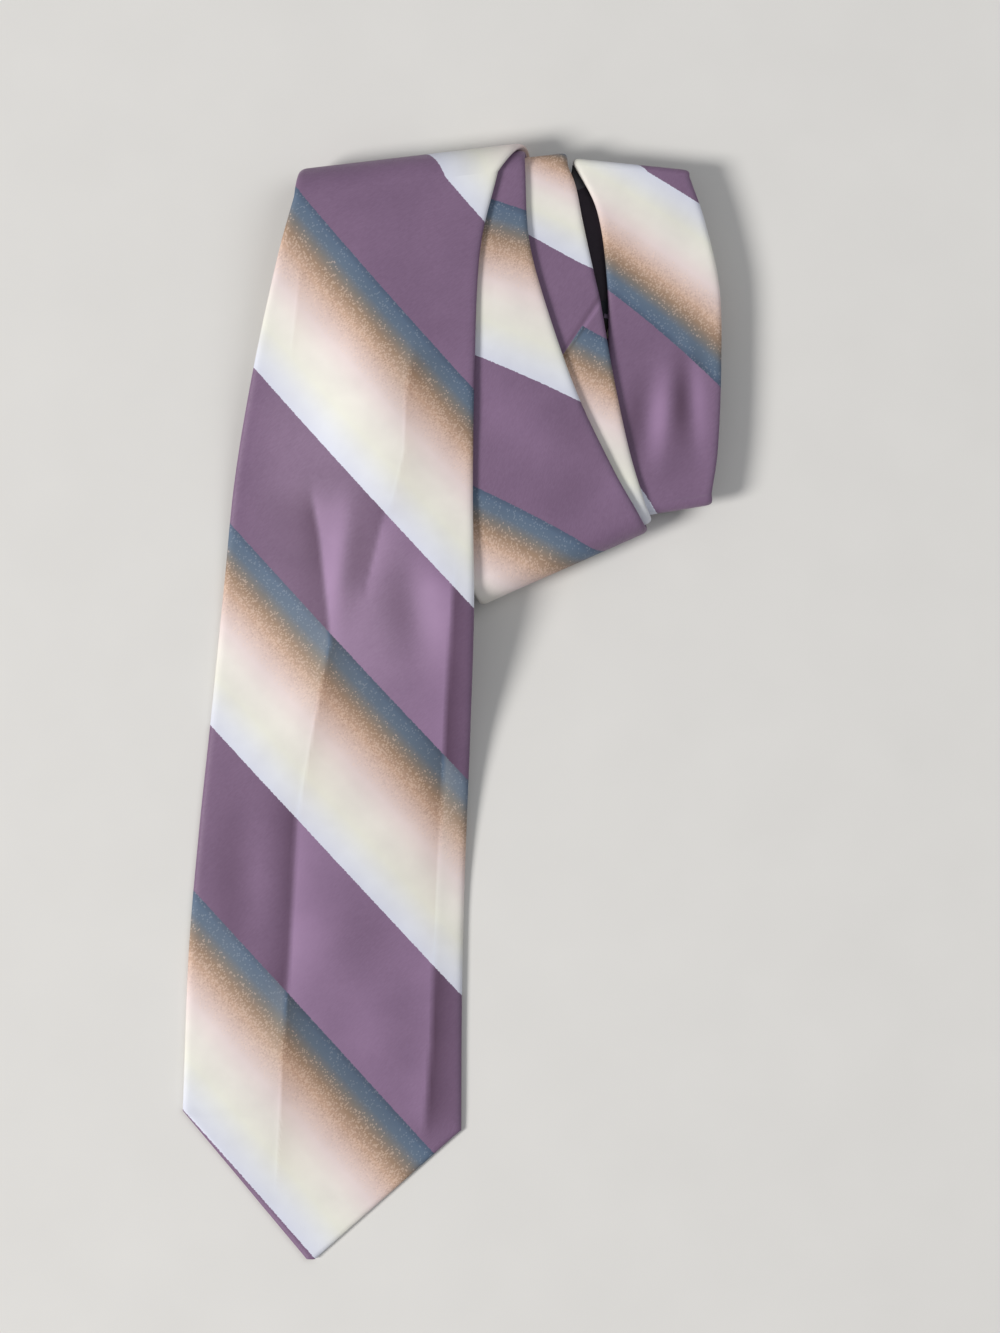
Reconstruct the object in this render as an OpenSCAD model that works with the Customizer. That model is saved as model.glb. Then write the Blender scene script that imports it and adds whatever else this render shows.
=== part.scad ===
// Necktie, laid face up and rolled into a loose flat spiral.
// The front blade lies on top. From its top fold the tie runs under everything, turns at the
// bottom, and each further turn shows as a strip to the right of the one above it.
// Frame: millimetres, +Z up, +Y from the blade's point to the top fold, +X to the right,
// origin at the middle of the base. The tie rests on z = 0.

/* [Cloth] */
// Thickness of the made-up tie, front face to back face
tie_t = 2.2; // [2.0:0.05:2.25]
// Thickness of the shell cloth
cloth_t = 0.45; // [0.3:0.05:0.5]
// Height from the middle of one layer to the middle of the next
pitch = 2.5; // [2.5:0.05:2.8]
// Thickness of the interlining
interlining_t = 0.7; // [0.5:0.05:0.7]
// Thickness of the tipping, the lining behind the points
tipping_t = 0.25; // [0.15:0.05:0.3]

/* [Back seam] */
// Gap between the two cloth edges that meet at the middle of the back
seam_gap = 0.6; // [0.5:0.05:1.0]
// Width of the thread that closes the back seam
thread_w = 0.4; // [0.3:0.05:0.45]
// Hem turned to the back at the front blade's point
front_hem = 11; // [8:0.5:14]
// Hem turned to the back at the tail's point
tail_hem = 7; // [5:0.5:9]
// Distance from the point to where the front blade's back opening starts to close
front_open = 80; // [70:1:90]
// Distance from the point to the front blade's bar tack, where the opening has closed
front_tack = 150; // [140:1:155]
// Distance from the point to where the tail's back opening starts to close
tail_open = 30; // [25:1:35]
// Distance from the point to the tail's bar tack
tail_tack = 72; // [65:1:80]

/* [Keeper loop] */
// Width of the loop across the back of the blade
loop_w = 50; // [40:1:54]
// Height of the loop along the blade
loop_h = 10; // [8:0.5:12]
// Thickness of the loop's cloth
loop_t = 0.5; // [0.4:0.05:0.6]
// Room between the loop and the back of the blade
loop_room = 0.9; // [0.6:0.05:1.0]

/* [Hidden] */

silk = "#7d6184";
dark_silk = "#5f4a66";
canvas = "#e9e2d2";
lining = "#6f5a78";
thread = "#8f7a96";
paper = "#efece6";

half_t = tie_t / 2;
// Middle heights of the layers, counted up from the surface
level = [for (i = [0:7]) half_t + i * pitch];
top_z = (level[0] + level[7]) / 2;
bottom_z = (level[0] + level[6]) / 2;
joint_gap = 0.3;

// The folds as lines in plan: a point, and the line's direction in degrees
top_line = [[-11.5, 175.5], 6.7];
tail_top_line = [[61, 180.2], -5.8];
bottom_line = [[34, 53], 23.9];
tail_bottom_line = [[70.5, 68], 9.3];

// Point of a fold line at a given x
function on(line, x) = [x, line[0][1] + (x - line[0][0]) * tan(line[1])];
// One row of a leg: left edge, right edge, heights of both, flat share from the right, arch
function row(l, r, zl, zr, flat = 1, arch = 0) =
    [l[0], l[1], r[0], r[1], zl, is_undef(zr) ? zl : zr, flat, arch];

tip = [-47.8, -189.5];
tip_w = 3;
floor_z = level[0];
tip_rows = [
    row(tip - [tip_w / 2, 0], tip + [tip_w / 2, 0], floor_z),
    row([-91.5, -139], [3.5, -145.5], floor_z, floor_z, 1, 0.8)
];
blade_rows = [
    tip_rows[1],
    row([-89.5, -86], [3.8, -96], floor_z, floor_z, 1, 1.7),
    row([-86.2, -46], [4.8, -56], floor_z, 1.6, 1, 2.2),
    row([-82, -6], [6.5, -14], floor_z, 6.2, 1, 2.4),
    row([-77.5, 38], [8, 32], 2, level[7] - 0.2, 0.97, 0.8),
    row([-73.5, 76], [7.6, 72], 4.8, level[7], 0.78),
    row([-66.9, 113], [8.2, 113], 9.8, level[7], 0.6),
    row([-58.4, 150], [10, 152], 15.6, level[7], 0.46),
    row(on(top_line, -52.5), on(top_line, 16), level[7], level[7], 0.4)
];
leg2_rows = [
    row(on(top_line, -46), on(top_line, 27.5), level[0]),
    row(on(bottom_line, 8), on(bottom_line, 64.5), level[0])
];
// Strip a, the first to the right of the blade
leg3_rows = [
    row(on(bottom_line, 5.7), on(bottom_line, 62.4), level[6]),
    row([0, 54], [54.6, 79.5], level[6]),
    row([-10, 83], [42.3, 105.5], level[6]),
    row([-20.5, 122.5], [31, 138.2], level[6]),
    row([-25, 149], [26.3, 158], level[6]),
    row(on(top_line, -24.6), on(top_line, 25.2), level[6])
];
leg4_rows = [
    row(on(top_line, -23), on(top_line, 27), level[1]),
    row(on(bottom_line, 28), on(bottom_line, 66), level[1])
];
// Strip b below the front-neck seam, then above it
leg5_low_rows = [
    row(on(bottom_line, 27.6), on(bottom_line, 65.8), level[5]),
    row([23.5, 65], [60.4, 85.3], level[5]),
    row([20.5, 77.5], [55.2, 109.6], level[5]),
    row([18.3, 88.2], [50.5, 136.5], level[5])
];
leg5_high_rows = [
    leg5_low_rows[3],
    row([14.5, 112], [47.4, 150], level[5]),
    row([10.2, 141], [44.6, 163], level[5]),
    row([6, 160], [42.3, 174.5], level[5]),
    row(on(top_line, 3), on(top_line, 39.6), level[5])
];
leg6_neck_rows = [
    row(on(top_line, 3.5), on(top_line, 40), level[2]),
    row([22.3, 134.8], [71.2, 109.8], level[2])
];
leg6_tail_rows = [
    leg6_neck_rows[1],
    row(on(tail_bottom_line, 53), on(tail_bottom_line, 88), level[2])
];
// Strip c, the last one that shows
leg7_rows = [
    row(on(tail_bottom_line, 52.8), on(tail_bottom_line, 88.3), level[4]),
    row([53, 84], [90.4, 86], level[4]),
    row([53.2, 112], [91.5, 112], level[4]),
    row([52.9, 142], [91, 140], level[4]),
    row([49.5, 166.5], [86, 163], level[4]),
    row(on(tail_top_line, 41.5), on(tail_top_line, 80.8), level[4])
];
leg8_rows = [
    row(on(tail_top_line, 41.2), on(tail_top_line, 80.5), level[3]),
    row([35, 135], [75, 128], level[3]),
    row([26, 88.6], [68.6, 78], level[3])
];
tail_tip = [42, 63];
tail_tip_rows = [
    leg8_rows[2],
    row(tail_tip - [tip_w / 2, -0.4], tail_tip + [tip_w / 2, -0.4], level[3])
];

function lerp(a, b, t) = a + (b - a) * t;
function smooth(t) = let (c = min(max(t, 0), 1)) c * c * (3 - 2 * c);
// Smooth curve through a list of rows, x counting the rows
function through(rows, x) =
    let (n = len(rows) - 1, k = min(floor(x), n - 1), f = x - k,
         b = rows[k], c = rows[k + 1],
         a = k > 0 ? rows[k - 1] : 2 * b - c,
         d = k < n - 1 ? rows[k + 2] : 2 * c - b)
    0.5 * (2 * b + (c - a) * f + (2 * a - 5 * b + 4 * c - d) * f * f
        + (3 * b - a - 3 * c + d) * f * f * f);
// A cut is a row with the direction of the front face: up is 1 where that is +Z, -1 where -Z
function cut(rows, x, up) = concat(through(rows, x), [0, 0, up]);
function leg(rows, n, up, first = 0, last = 1) =
    [for (i = [0:n]) cut(rows, lerp(first, last, i / n) * (len(rows) - 1), up)];
// Half turn round a fold line, from row a to row b. up is the side where it starts.
function bend(a, b, line, mid_z, up, n, first = 0, last = 1, bow = 0) =
    let (r = abs(a[4] - mid_z), out = up * [-sin(line[1]), cos(line[1])],
         along = [cos(line[1]), sin(line[1])])
    [for (i = [0:n])
        let (s = lerp(first, last, i / n), q = 180 * s, o = out * r * sin(q),
             b1 = along * bow * sin(q), z = mid_z + up * r * cos(q),
             l = lerp([a[0], a[1]], [b[0], b[1]], s) + o, g = lerp([a[2], a[3]], [b[2], b[3]], s) + o + b1)
        [l[0], l[1], g[0], g[1], z, z, 1, 0, out[0] * sin(q), out[1] * sin(q), up * cos(q)]];
function inner(list) = [for (i = [1:len(list) - 2]) list[i]];
function after(list) = [for (i = [1:len(list) - 1]) list[i]];
function last_row(rows) = rows[len(rows) - 1];

// Point of a cut, x across from the middle and w towards the front face
function width(c) = norm([c[2] - c[0], c[3] - c[1]]);
function at(c, x, w) =
    let (u = 0.5 + x / width(c))
    [lerp(c[0], c[2], u) + c[8] * w, lerp(c[1], c[3], u) + c[9] * w,
     lerp(c[4], c[5], smooth(u / c[6])) + c[7] * 4 * u * (1 - u) + c[10] * w];
function put(c, profile) = [for (p = profile) at(c, p[0], p[1])];

// Right half of the shell's outline, from the back opening round the edge to the front
function half_ring(h, t, open, shares) = concat(
    [[open, -t / 2]], [for (f = shares) [lerp(open, h - t / 2, f), -t / 2]],
    [for (a = [-90:45:90]) [h - t / 2 + t / 2 * cos(a), t / 2 * sin(a)]],
    [for (i = [len(shares) - 1:-1:0]) [shares[i] * (h - t / 2), t / 2]]);
function ring(h, t, open, shares) =
    let (r = half_ring(h, t, open, shares))
    concat(r, [[0, t / 2]], [for (i = [len(r) - 1:-1:0]) [-r[i][0], r[i][1]]]);

// Closed sheet between two grids of points: one list of points a cut, front side and back side
module lay(front, back) {
    n = len(front);
    m = len(front[0]);
    all = concat([for (r = front) each r], [for (r = back) each r]);
    function f(k, i) = k * m + i;
    function b(k, i) = n * m + k * m + i;
    function quad(p, q, r, s) = [[p, q, r], [p, r, s]];
    polyhedron(all, concat(
        [for (k = [0:n - 2], i = [0:m - 2]) each quad(f(k, i), f(k, i + 1), f(k + 1, i + 1), f(k + 1, i))],
        [for (k = [0:n - 2], i = [0:m - 2]) each quad(b(k, i), b(k + 1, i), b(k + 1, i + 1), b(k, i + 1))],
        [for (k = [0:n - 2]) each quad(f(k, 0), f(k + 1, 0), b(k + 1, 0), b(k, 0))],
        [for (k = [0:n - 2]) each quad(f(k, m - 1), b(k, m - 1), b(k + 1, m - 1), f(k + 1, m - 1))],
        [for (i = [0:m - 2]) each quad(f(0, i), b(0, i), b(0, i + 1), f(0, i + 1))],
        [for (i = [0:m - 2]) each quad(f(n - 1, i), f(n - 1, i + 1), b(n - 1, i + 1), b(n - 1, i))]));
}
// Folded shell along a list of cuts, with the half width of its back opening at each
module shell(cuts, opens, shares = [0.5])
    lay([for (i = [0:len(cuts) - 1]) put(cuts[i], ring(width(cuts[i]) / 2, tie_t, opens[i], shares))],
        [for (i = [0:len(cuts) - 1])
            put(cuts[i], ring(width(cuts[i]) / 2 - cloth_t, tie_t - 2 * cloth_t, opens[i], shares))]);
// Flat band along a list of cuts, from -h to h across, between two depths
module band(cuts, halves, w_low, w_high, columns = 2, centres = [])
    lay([for (i = [0:len(cuts) - 1]) put(cuts[i], band_line(halves[i], w_high, columns, centre(centres, i)))],
        [for (i = [0:len(cuts) - 1]) put(cuts[i], band_line(halves[i], w_low, columns, centre(centres, i)))]);
function centre(centres, i) = len(centres) == 0 ? 0 : centres[i];
function band_line(h, w, columns, c) = [for (j = [columns:-1:0]) [c + lerp(-h, h, j / columns), w]];
function same(cuts, value) = [for (c = cuts) value];

function middle(c) = [(c[0] + c[2]) / 2, (c[1] + c[3]) / 2];
// Half width of the back opening: wide at the point, closing to the seam
function opening(c, point, hem, start, end) =
    max(seam_gap / 2, (width(c) / 2 - hem) * (1 - smooth((norm(middle(c) - point) - start) / (end - start))));
function front_opens(cuts) = [for (c = cuts) opening(c, tip, front_hem, front_open, front_tack)];
function tail_opens(cuts) = [for (c = cuts) opening(c, tail_tip, tail_hem, tail_open, tail_tack)];

blade_end = 1 - joint_gap / 380;
blade_cuts = concat(leg(tip_rows, 5, 1), after(leg(blade_rows, 24, 1, 0, blade_end)));
fold_n = 12;
fold_cuts = bend(last_row(blade_rows), leg2_rows[0], top_line, top_z, 1, fold_n, 0.008, 1, 4);
bend_n = 9;
wrap_cuts = concat(leg(leg2_rows, 6, -1),
    inner(bend(leg2_rows[1], leg3_rows[0], bottom_line, bottom_z, -1, bend_n)),
    leg(leg3_rows, 12, 1),
    inner(bend(last_row(leg3_rows), leg4_rows[0], top_line, top_z, 1, bend_n)),
    leg(leg4_rows, 6, -1),
    inner(bend(leg4_rows[1], leg5_low_rows[0], bottom_line, bottom_z, -1, bend_n)),
    leg(leg5_low_rows, 7, 1));
neck_cuts = concat(leg(leg5_high_rows, 9, 1),
    inner(bend(last_row(leg5_high_rows), leg6_neck_rows[0], top_line, top_z, 1, bend_n)),
    leg(leg6_neck_rows, 5, -1));
tail_start_cuts = concat(leg(leg6_tail_rows, 5, -1),
    inner(bend(leg6_tail_rows[1], leg7_rows[0], tail_bottom_line, bottom_z, -1, bend_n)),
    leg(leg7_rows, 12, 1),
    inner(bend(last_row(leg7_rows), leg8_rows[0], tail_top_line, top_z, 1, bend_n)));
tail_end_cuts = concat(leg(leg8_rows, 10, -1), after(leg(tail_tip_rows, 4, -1)));
tail_cuts = concat(tail_start_cuts, tail_end_cuts);

// Depths inside the shell, measured towards the front face
in_front = half_t - cloth_t - 0.05;
canvas_low = in_front - interlining_t;
tipping_high = canvas_low - 0.15;
thread_low = -half_t + 0.02;
edge_room = cloth_t + 0.35;

module interlining(cuts, columns)
    band(cuts, [for (c = cuts) width(c) / 2 - half_t - edge_room], canvas_low, in_front, columns);

module front_blade_shell() color(silk) shell(blade_cuts, front_opens(blade_cuts), [0.25, 0.5, 0.75]);
module front_blade_interlining()
    color(canvas) interlining([for (i = [1:len(blade_cuts) - 1]) blade_cuts[i]], 8);
tipping_cuts = [for (i = [1:14]) blade_cuts[i]];
module front_tipping()
    color(lining)
        band(tipping_cuts,
            [for (c = tipping_cuts) min(opening(c, tip, front_hem, front_open, front_tack) + 4, width(c) / 2 - 2)],
            tipping_high - tipping_t, tipping_high, 8);
// Two lines of stitches that hold the tipping to the hems
module edge_stitches(cuts, opens, low)
    for (side = [-1, 1])
        band(cuts, same(cuts, thread_w / 2), low, low + 0.4, 1,
            [for (o = opens) side * (o - thread_w / 2 - 0.05)]);
front_stitch_cuts = [for (i = [3:11]) blade_cuts[i]];
module front_tipping_stitches()
    color(thread) edge_stitches(front_stitch_cuts, front_opens(front_stitch_cuts), thread_low);
// Row number on the blade of a place that far from the point
function blade_place(d) = (d - 47) / 44.5;
module blade_bar(from, to, half_w, low, high)
    let (c = [for (i = [0:3]) cut(blade_rows, lerp(blade_place(from), blade_place(to), i / 3), 1)])
        band(c, same(c, half_w), low, high, 6);
module front_bar_tack()
    color(thread) blade_bar(front_tack, front_tack + 1.6, 5, -half_t - 0.55, -half_t - 0.1);

loop_from = 168;
function loop_drop(x) = -half_t - 0.03 - loop_room * smooth((loop_w / 2 - abs(x)) / 5);
function loop_line(down) =
    [for (j = [16:-1:0]) let (x = lerp(-loop_w / 2, loop_w / 2, j / 16)) [x, loop_drop(x) - down]];
module keeper_loop()
    let (c = [for (i = [0:3]) cut(blade_rows, lerp(blade_place(loop_from), blade_place(loop_from + loop_h), i / 3), 1)])
        color(dark_silk) lay([for (k = c) put(k, loop_line(0))], [for (k = c) put(k, loop_line(loop_t))]);
// A short bar tack over each end of the loop
tack_w = 1.2;
module loop_tacks()
    let (c = [for (i = [0:3]) cut(blade_rows, lerp(blade_place(loop_from + 1), blade_place(loop_from + loop_h - 1), i / 3), 1)])
        color(thread) for (side = [-1, 1])
            band(c, same(c, tack_w / 2), -half_t - loop_t - 0.65, -half_t - loop_t - 0.35, 1,
                same(c, side * (loop_w / 2 - tack_w / 2)));
// Blank label, its upper edge caught under the bar tack
module care_label() color(paper) blade_bar(front_tack - 16, front_tack - 1, 12, -half_t - 0.3, -half_t - 0.05);
module seam_thread(cuts) band(cuts, same(cuts, thread_w / 2), thread_low, thread_low + 0.4, 1);
module blade_slip_stitch()
    color(thread) seam_thread([for (i = [15:len(blade_cuts) - 1]) blade_cuts[i]]);

module top_fold_shell() color(silk) shell(fold_cuts, same(fold_cuts, seam_gap / 2));
module top_fold_interlining() color(canvas) interlining(fold_cuts, 2);

module wrap_shell() color(silk) shell(wrap_cuts, same(wrap_cuts, seam_gap / 2));
module neck_shell() color(dark_silk) shell(neck_cuts, same(neck_cuts, seam_gap / 2));
module tail_shell()
    color(silk) shell(tail_cuts, concat(same(tail_start_cuts, seam_gap / 2), tail_opens(tail_end_cuts)));
neck_lining_n = len(neck_cuts) - 3;
module wrap_interlining()
    color(canvas) interlining(concat(wrap_cuts, after([for (i = [0:neck_lining_n]) neck_cuts[i]])), 2);
tail_lining_end = len(tail_cuts) - 2;
module tail_interlining()
    color(canvas) interlining(concat([neck_cuts[neck_lining_n + 1]], [last_row(neck_cuts)],
        after([for (i = [0:tail_lining_end]) tail_cuts[i]])), 2);
// Zigzag that joins the two interlinings, in the narrow stretch between them
module interlining_join()
    let (a = neck_cuts[neck_lining_n], b = neck_cuts[neck_lining_n + 1])
        color(thread) band([lerp(a, b, 0.1), lerp(a, b, 0.9)],
            [width(a) / 2 - 3, width(b) / 2 - 3], canvas_low + 0.1, in_front - 0.1, 2);
// Line of stitches along a seam that crosses the tie, just inside the shell
module cross_seam(c0, c1)
    let (a = lerp(c0, c1, 0.04), b = lerp(c0, c1, 0.12))
        band([a, b], [width(a) / 2 - 3, width(b) / 2 - 3], -half_t + cloth_t + 0.02, canvas_low - 0.02, 2);
module front_neck_seam() color(thread) cross_seam(neck_cuts[0], neck_cuts[1]);
module neck_tail_seam() color(thread) cross_seam(tail_cuts[0], tail_cuts[1]);
closed_tail_n = len(tail_start_cuts) + 4;
module coil_slip_stitch()
    color(thread) seam_thread(concat(wrap_cuts, after(neck_cuts),
        after([for (i = [0:closed_tail_n]) tail_cuts[i]])));
tail_tipping_cuts = [for (i = [5:len(tail_end_cuts) - 2]) tail_end_cuts[i]];
module tail_tipping()
    color(lining)
        band(tail_tipping_cuts,
            [for (c = tail_tipping_cuts) min(opening(c, tail_tip, tail_hem, tail_open, tail_tack) + 3, width(c) / 2 - 2)],
            tipping_high - tipping_t, tipping_high, 4);
tail_stitch_cuts = [for (i = [7:len(tail_end_cuts) - 3]) tail_end_cuts[i]];
module tail_tipping_stitches()
    color(thread) edge_stitches(tail_stitch_cuts, tail_opens(tail_stitch_cuts), thread_low);
module tail_bar_tack()
    let (c = [for (i = [0:2]) lerp(tail_end_cuts[5], tail_end_cuts[6], 0.1 + 0.06 * i)])
        color(thread) band(c, same(c, 3), -half_t - 0.25, -half_t - 0.02, 2);

front_blade_shell();
front_blade_interlining();
front_tipping();
front_tipping_stitches();
front_bar_tack();
keeper_loop();
loop_tacks();
care_label();
blade_slip_stitch();
top_fold_shell();
top_fold_interlining();
wrap_shell();
neck_shell();
tail_shell();
wrap_interlining();
tail_interlining();
interlining_join();
front_neck_seam();
neck_tail_seam();
coil_slip_stitch();
tail_tipping();
tail_tipping_stitches();
tail_bar_tack();
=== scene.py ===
"""A necktie of striped silk, laid face up and rolled into a loose flat spiral.

Lengths are in millimetres unless a name ends in _M; meshes are made in metres. The cloth is described
by cuts across it, from the front blade's point to the tail's point, round every fold of the roll.
"""
import math

import bpy
import numpy as np
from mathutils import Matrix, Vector


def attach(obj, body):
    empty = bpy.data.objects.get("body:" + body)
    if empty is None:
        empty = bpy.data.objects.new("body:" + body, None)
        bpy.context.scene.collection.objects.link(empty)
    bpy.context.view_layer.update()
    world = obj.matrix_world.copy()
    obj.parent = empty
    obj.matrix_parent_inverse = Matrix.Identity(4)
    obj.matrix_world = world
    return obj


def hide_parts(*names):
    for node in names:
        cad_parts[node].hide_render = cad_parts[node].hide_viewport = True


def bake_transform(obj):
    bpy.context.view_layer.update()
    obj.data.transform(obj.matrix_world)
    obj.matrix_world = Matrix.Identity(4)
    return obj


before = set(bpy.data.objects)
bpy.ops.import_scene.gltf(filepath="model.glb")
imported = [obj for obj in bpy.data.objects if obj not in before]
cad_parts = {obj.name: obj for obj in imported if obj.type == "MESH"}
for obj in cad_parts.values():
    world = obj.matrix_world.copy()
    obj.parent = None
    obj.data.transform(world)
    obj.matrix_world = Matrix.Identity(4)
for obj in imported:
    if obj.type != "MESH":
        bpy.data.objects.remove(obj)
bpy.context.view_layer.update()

# ---------------------------------------------------------------- sizes
MM = 0.001
TIE_T = 2.2
CLOTH_T = 0.45
PITCH = 2.5
HALF_T = TIE_T / 2
EDGE_ROLL = 2.3
SEAM_GAP = 0.5
# Below FREE_Y the blade lies on the floor; over FREE_SPAN above it the relief becomes the front's alone
FREE_Y, FREE_SPAN = -10, 30
FLOOR_GAP = 0.02
FRONT_HEM, FRONT_OPEN, FRONT_TACK = 11, 80, 150
TAIL_HEM, TAIL_OPEN, TAIL_TACK = 7, 30, 72
TIPPING_INSET = 2
CANVAS_DEPTHS = (0.58, -0.08)
ROLL_CANVAS_DEPTHS = (0.48, -0.08)
TIPPING_DEPTHS = (-0.26, -0.5)
LOOP_W, LOOP_H, LOOP_T, LOOP_ROOM, LOOP_FROM = 50, 10, 0.5, 0.9, 168
LABEL_W, LABEL_H = 24, 15
LEVEL = [HALF_T + i * PITCH for i in range(8)]
TOP_Z = (LEVEL[0] + LEVEL[7]) / 2
BOTTOM_Z = (LEVEL[0] + LEVEL[6]) / 2

# Stripes: one repeat across the cloth, and the share of it that is shaded; the rest is plain purple
PERIOD = 90.8
SHADED = 0.55


# ---------------------------------------------------------------- the way the tie lies
class Line:
    """A fold line in plan: a point on it and its direction."""

    def __init__(self, x, y, degrees):
        self.x, self.y, self.slope = x, y, math.tan(math.radians(degrees))
        self.along = np.array([math.cos(math.radians(degrees)), math.sin(math.radians(degrees))])
        self.up = np.array([-self.along[1], self.along[0]])

    def at(self, x):
        return (x, self.y + (x - self.x) * self.slope)


TOP = Line(-11.5, 175.5, 6.7)
TAIL_TOP = Line(61, 180.2, -5.8)
BOTTOM = Line(34, 53, 23.9)
TAIL_BOTTOM = Line(70.5, 68, 9.3)
TIP = (-47.8, -189.5)
TAIL_TIP = (42, 63)
TIP_W = 3


def row(left, right, left_z, right_z=None, flat=1.0, arch=0.0):
    """A place along a leg: its edges, their heights, the share that is flat, and a rise in the middle."""
    return [*left, *right, left_z, left_z if right_z is None else right_z, flat, arch]


TIP_ROWS = [
    row((TIP[0] - TIP_W / 2, TIP[1]), (TIP[0] + TIP_W / 2, TIP[1]), LEVEL[0]),
    row((-91.5, -139), (3.5, -145.5), LEVEL[0], LEVEL[0], 1, 0.8),
]
BLADE = [
    TIP_ROWS[1],
    row((-89.5, -86), (3.8, -96), LEVEL[0], LEVEL[0], 1, 1.7),
    row((-86.2, -46), (4.8, -56), LEVEL[0], 1.6, 1, 2.2),
    row((-82, -6), (6.5, -14), LEVEL[0], 6.2, 1, 2.4),
    row((-77.5, 38), (8, 32), 2, LEVEL[7] - 0.2, 0.97, 0.8),
    row((-73.5, 76), (7.6, 72), 4.8, LEVEL[7], 0.78),
    row((-66.9, 113), (8.2, 113), 9.8, LEVEL[7], 0.6),
    row((-58.4, 150), (10, 152), 15.6, LEVEL[7], 0.46),
    row(TOP.at(-52.5), TOP.at(16), LEVEL[7], LEVEL[7], 0.4),
]
LEG_2 = [row(TOP.at(-46), TOP.at(27.5), LEVEL[0]), row(BOTTOM.at(8), BOTTOM.at(64.5), LEVEL[0])]
STRIP_A = [
    row(BOTTOM.at(5.7), BOTTOM.at(62.4), LEVEL[6]),
    row((0, 54), (54.6, 79.5), LEVEL[6]),
    row((-10, 83), (42.3, 105.5), LEVEL[6]),
    row((-20.5, 122.5), (31, 138.2), LEVEL[6]),
    row((-25, 149), (26.3, 158), LEVEL[6]),
    row(TOP.at(-24.6), TOP.at(25.2), LEVEL[6]),
]
LEG_4 = [row(TOP.at(-23), TOP.at(27), LEVEL[1]), row(BOTTOM.at(28), BOTTOM.at(66), LEVEL[1])]
SEAM_1 = row((18.3, 88.2), (50.5, 136.5), LEVEL[5])
STRIP_B_LOW = [
    row(BOTTOM.at(27.6), BOTTOM.at(65.8), LEVEL[5]),
    row((23.5, 65), (60.4, 85.3), LEVEL[5]),
    row((20.5, 77.5), (55.2, 109.6), LEVEL[5]),
    SEAM_1,
]
STRIP_B_HIGH = [
    SEAM_1,
    row((14.5, 112), (47.4, 150), LEVEL[5]),
    row((10.2, 141), (44.6, 163), LEVEL[5]),
    row((6, 160), (42.3, 174.5), LEVEL[5]),
    row(TOP.at(3), TOP.at(39.6), LEVEL[5]),
]
SEAM_2 = row((22.3, 134.8), (71.2, 109.8), LEVEL[2])
LEG_6_NECK = [row(TOP.at(3.5), TOP.at(40), LEVEL[2]), SEAM_2]
LEG_6_TAIL = [SEAM_2, row(TAIL_BOTTOM.at(53), TAIL_BOTTOM.at(88), LEVEL[2])]
STRIP_C = [
    row(TAIL_BOTTOM.at(52.8), TAIL_BOTTOM.at(88.3), LEVEL[4]),
    row((53, 84), (90.4, 86), LEVEL[4]),
    row((53.2, 112), (91.5, 112), LEVEL[4]),
    row((52.9, 142), (91, 140), LEVEL[4]),
    row((49.5, 166.5), (86, 163), LEVEL[4]),
    row(TAIL_TOP.at(41.5), TAIL_TOP.at(80.8), LEVEL[4]),
]
LEG_8 = [
    row(TAIL_TOP.at(41.2), TAIL_TOP.at(80.5), LEVEL[3]),
    row((35, 135), (75, 128), LEVEL[3]),
    row((26, 88.6), (68.6, 78), LEVEL[3]),
]
TAIL_TIP_ROWS = [
    LEG_8[2],
    row((TAIL_TIP[0] - TIP_W / 2, TAIL_TIP[1] + 0.4), (TAIL_TIP[0] + TIP_W / 2, TAIL_TIP[1] - 0.4), LEVEL[3]),
]


# ---------------------------------------------------------------- cuts across the cloth
def smooth(t):
    t = np.clip(t, 0, 1)
    return t * t * (3 - 2 * t)


def mix(a, b, t):
    return a + (b - a) * t


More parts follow.
